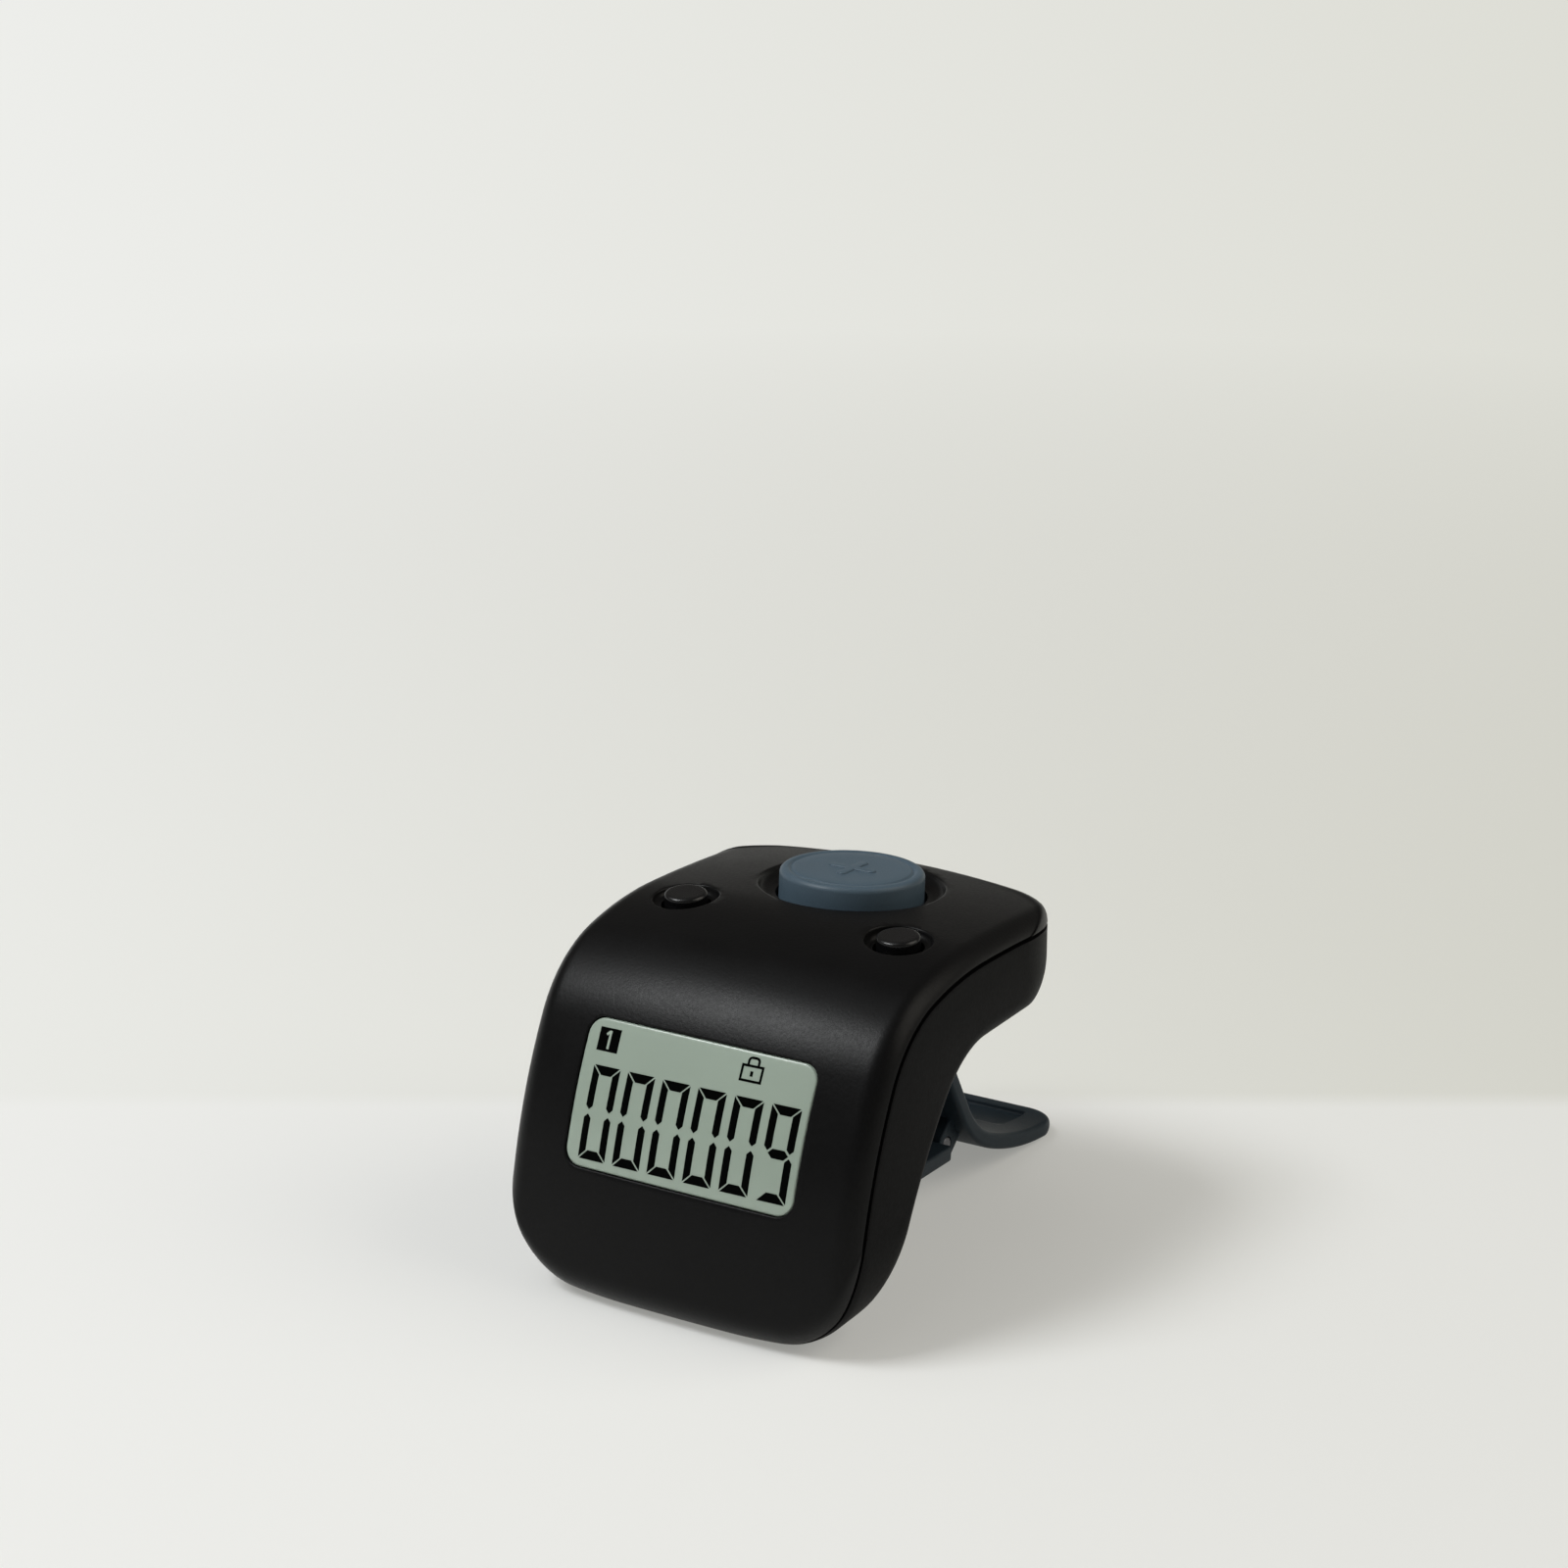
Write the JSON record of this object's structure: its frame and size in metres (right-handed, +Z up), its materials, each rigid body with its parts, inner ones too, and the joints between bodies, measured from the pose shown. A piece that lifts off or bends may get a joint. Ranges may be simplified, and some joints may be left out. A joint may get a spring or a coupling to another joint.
{
  "type": "digital finger counter",
  "caption": "Digital tally counter shaped like an inverted J, with a display on its leg, a large count button and small side buttons on its head, and a sprung finger clip behind.",
  "frame": {"origin": "middle of the footprint, on the surface that the counter stands on", "axes": "+Z up, -Y towards the front that the display faces, +X to the counter's right as its user reads the display"},
  "size_m": [0.0344, 0.055, 0.0322],
  "materials": {
    "black_plastic": "fine-grained matte",
    "black_gloss": "satin",
    "slate_plastic": "matte",
    "display_lens": "clear gloss",
    "display_glass": "satin",
    "zebra_rubber": "matte",
    "board_green": "satin",
    "chip_black": "matte",
    "ribbon_amber": "satin",
    "steel": "satin",
    "contact_metal": "satin"
  },
  "bodies": {
    "casing": {"front_cover": "black_plastic", "rear_cover": "black_plastic", "battery_door": "black_plastic", "door_screw": "steel", "case_screw_1": "steel", "case_screw_2": "steel", "case_screw_3": "steel", "case_screw_4": "steel", "lcd_window": "display_lens", "lcd_panel": "display_glass", "lcd_frame": "black_plastic", "zebra_strip": "zebra_rubber", "display_board": "board_green", "controller_chip": "chip_black", "ribbon_cable": "ribbon_amber", "button_board": "board_green", "count_switch": "contact_metal", "left_switch": "contact_metal", "right_switch": "contact_metal", "coin_cell": "steel", "contact_negative": "contact_metal", "contact_positive": "contact_metal", "clip_bracket": "slate_plastic", "bracket_screw_1": "steel", "bracket_screw_2": "steel", "clip_pin": "steel", "clip_spring": "steel"},
    "count_key": {"count_button": "slate_plastic"},
    "left_key": {"left_button": "black_gloss"},
    "right_key": {"right_button": "black_gloss"},
    "lever": {"clip_lever": "slate_plastic"}
  },
  "joints": [
    {"name": "count_press", "type": "slide", "parent": "casing", "child": "count_key", "axis": [0, -0.066, -0.9978], "range_m": [0, 0.0005], "stiffness_N_per_m": 1500, "springref_m": -0.0003},
    {"name": "left_press", "type": "slide", "parent": "casing", "child": "left_key", "axis": [0, 0.0609, -0.9981], "range_m": [0, 0.0004], "stiffness_N_per_m": 1500, "springref_m": -0.0003},
    {"name": "right_press", "type": "slide", "parent": "casing", "child": "right_key", "axis": [0, 0.0609, -0.9981], "range_m": [0, 0.0004], "stiffness_N_per_m": 1500, "springref_m": -0.0003},
    {"name": "clip_hinge", "type": "hinge", "parent": "casing", "child": "lever", "pos_m": [0, 0.00753, 0.00526], "axis": [-1, 0, 0], "range_deg": [0, 25], "stiffness_Nm_per_rad": 0.02, "springref_deg": -34.38, "deforming": ["clip_spring"]}
  ]
}
